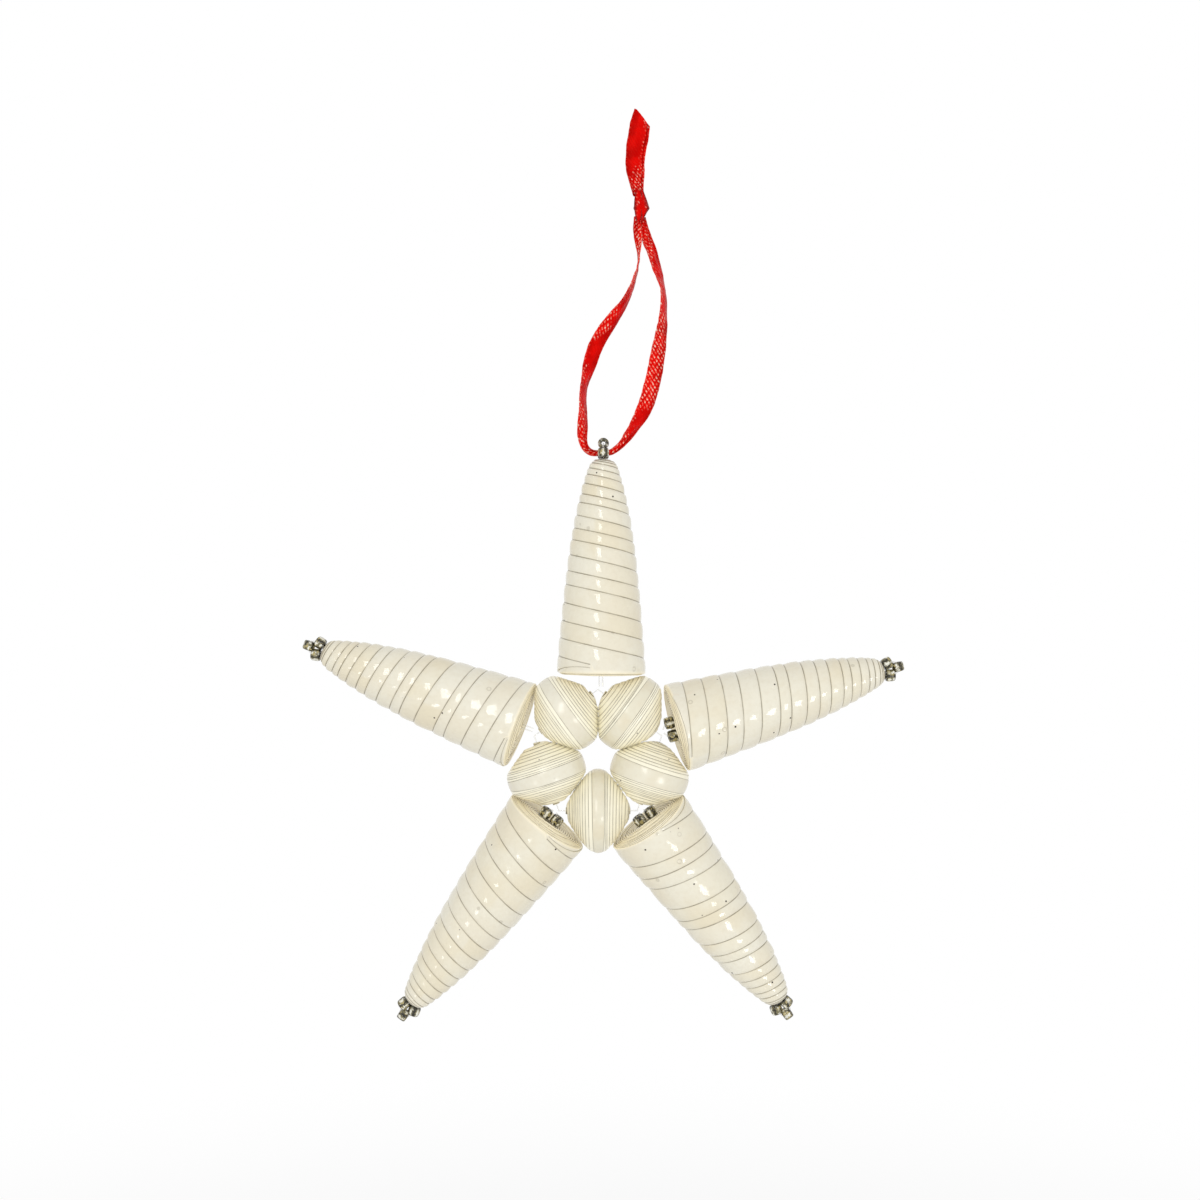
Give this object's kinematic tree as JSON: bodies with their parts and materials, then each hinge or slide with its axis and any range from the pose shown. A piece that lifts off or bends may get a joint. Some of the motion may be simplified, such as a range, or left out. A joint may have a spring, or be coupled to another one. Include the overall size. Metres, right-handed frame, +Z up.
{
  "type": "star ornament",
  "caption": "Hanging star ornament of rolled card beads strung on thread: tapered points round a ring of bicone beads, glass seed beads at the tips, and a knotted ribbon loop.",
  "frame": {"origin": "inside top of the ribbon loop, where a hook or a twig carries it", "axes": "+Z up along the hanging ribbon, front of the star towards -Y, +X to the right seen from the front"},
  "size_m": [0.1219, 0.0186, 0.1841],
  "materials": {
    "point_card": "ivory paint under gloss varnish",
    "ring_card": "ivory paint under gloss varnish",
    "seed_glass": "clear glass with a silver-lined hole",
    "thread": "matte",
    "ribbon": "satin"
  },
  "bodies": {
    "ribbon": {"ribbon_left": "ribbon", "ribbon_right": "ribbon", "ribbon_knot": "ribbon", "ribbon_tail_front": "ribbon", "ribbon_tail_back": "ribbon"},
    "top_loop": {"loop_thread": "thread", "tip_bead_top_a": "seed_glass", "tip_bead_top_b": "seed_glass", "tip_bead_top_crown": "seed_glass"},
    "star_core": {"ring_thread": "thread", "thread_top": "thread"},
    "top_point": {"point_bead_top": "point_card"},
    "ring_upper_right": {"ring_bead_upper_right": "ring_card"},
    "ring_right": {"ring_bead_right": "ring_card"},
    "ring_bottom": {"ring_bead_bottom": "ring_card"},
    "ring_left": {"ring_bead_left": "ring_card"},
    "ring_upper_left": {"ring_bead_upper_left": "ring_card"},
    "right_stem": {"thread_right": "thread", "tip_bead_right_a": "seed_glass", "tip_bead_right_b": "seed_glass", "tip_bead_right_crown": "seed_glass", "base_bead_right_a": "seed_glass", "base_bead_right_b": "seed_glass"},
    "right_point": {"point_bead_right": "point_card"},
    "lower_right_stem": {"thread_lower_right": "thread", "tip_bead_lower_right_a": "seed_glass", "tip_bead_lower_right_b": "seed_glass", "tip_bead_lower_right_crown": "seed_glass", "base_bead_lower_right_a": "seed_glass", "base_bead_lower_right_b": "seed_glass"},
    "lower_right_point": {"point_bead_lower_right": "point_card"},
    "lower_left_stem": {"thread_lower_left": "thread", "tip_bead_lower_left_a": "seed_glass", "tip_bead_lower_left_b": "seed_glass", "tip_bead_lower_left_crown": "seed_glass", "base_bead_lower_left_a": "seed_glass", "base_bead_lower_left_b": "seed_glass"},
    "lower_left_point": {"point_bead_lower_left": "point_card"},
    "left_stem": {"thread_left": "thread", "tip_bead_left_a": "seed_glass", "tip_bead_left_b": "seed_glass", "tip_bead_left_crown": "seed_glass"},
    "left_point": {"point_bead_left": "point_card"}
  },
  "joints": [
    {"name": "star_swing", "type": "hinge", "parent": "ribbon", "child": "top_loop", "pos_m": [-0.0082, 0, -0.0402], "axis": [1, 0, 0], "range_deg": [-45, 45]},
    {"name": "star_sway", "type": "hinge", "parent": "top_loop", "child": "star_core", "pos_m": [-0.00822, -0.00005, -0.04174], "axis": [0, 1, 0], "range_deg": [-12, 12]},
    {"name": "top_point_spin", "type": "hinge", "parent": "star_core", "child": "top_point", "pos_m": [-0.00867, -0.00133, -0.08491], "axis": [0.0105, 0.0297, 0.9995], "continuous": true},
    {"name": "ring_upper_right_spin", "type": "hinge", "parent": "star_core", "child": "ring_upper_right", "pos_m": [-0.0029, -0.00133, -0.09241], "axis": [-0.809, 0, 0.5878], "continuous": true},
    {"name": "ring_right_spin", "type": "hinge", "parent": "star_core", "child": "ring_right", "pos_m": [0.00104, -0.00133, -0.10452], "axis": [0.309, 0, 0.9511], "continuous": true},
    {"name": "ring_bottom_spin", "type": "hinge", "parent": "star_core", "child": "ring_bottom", "pos_m": [-0.00927, -0.00133, -0.11201], "axis": [1, 0, 0], "continuous": true},
    {"name": "ring_left_spin", "type": "hinge", "parent": "star_core", "child": "ring_left", "pos_m": [-0.01957, -0.00133, -0.10452], "axis": [0.309, 0, -0.9511], "continuous": true},
    {"name": "ring_upper_left_spin", "type": "hinge", "parent": "star_core", "child": "ring_upper_left", "pos_m": [-0.01564, -0.00133, -0.09241], "axis": [-0.809, 0, -0.5878], "continuous": true},
    {"name": "right_rock", "type": "hinge", "parent": "star_core", "child": "right_stem", "pos_m": [0.00635, -0.00133, -0.09547], "axis": [0.2605, 0, -0.9655], "range_deg": [-3, 10], "stiffness_Nm_per_rad": 0.02},
    {"name": "right_point_spin", "type": "hinge", "parent": "right_stem", "child": "right_point", "pos_m": [0.00635, -0.00133, -0.09547], "axis": [0.9591, 0.1149, 0.2588], "continuous": true},
    {"name": "lower_right_rock", "type": "hinge", "parent": "star_core", "child": "lower_right_stem", "pos_m": [0.00073, -0.00133, -0.11392], "axis": [-0.81, 0, -0.5864], "range_deg": [-3, 10], "stiffness_Nm_per_rad": 0.02},
    {"name": "lower_right_point_spin", "type": "hinge", "parent": "lower_right_stem", "child": "lower_right_point", "pos_m": [0.00073, -0.00133, -0.11392], "axis": [0.5825, 0.1149, -0.8047], "continuous": true},
    {"name": "lower_left_rock", "type": "hinge", "parent": "star_core", "child": "lower_left_stem", "pos_m": [-0.01921, -0.00133, -0.11401], "axis": [-0.8049, 0, 0.5934], "range_deg": [-3, 10], "stiffness_Nm_per_rad": 0.02},
    {"name": "lower_left_point_spin", "type": "hinge", "parent": "lower_left_stem", "child": "lower_left_point", "pos_m": [-0.01921, -0.00133, -0.11401], "axis": [-0.5895, 0.1149, -0.7996], "continuous": true},
    {"name": "left_rock", "type": "hinge", "parent": "star_core", "child": "left_stem", "pos_m": [-0.0246, -0.00133, -0.09504], "axis": [0.342, 0, 0.9397], "range_deg": [-3, 10], "stiffness_Nm_per_rad": 0.02},
    {"name": "left_point_spin", "type": "hinge", "parent": "left_stem", "child": "left_point", "pos_m": [-0.0246, -0.00133, -0.09504], "axis": [-0.9335, 0.1149, 0.3398], "continuous": true}
  ]
}
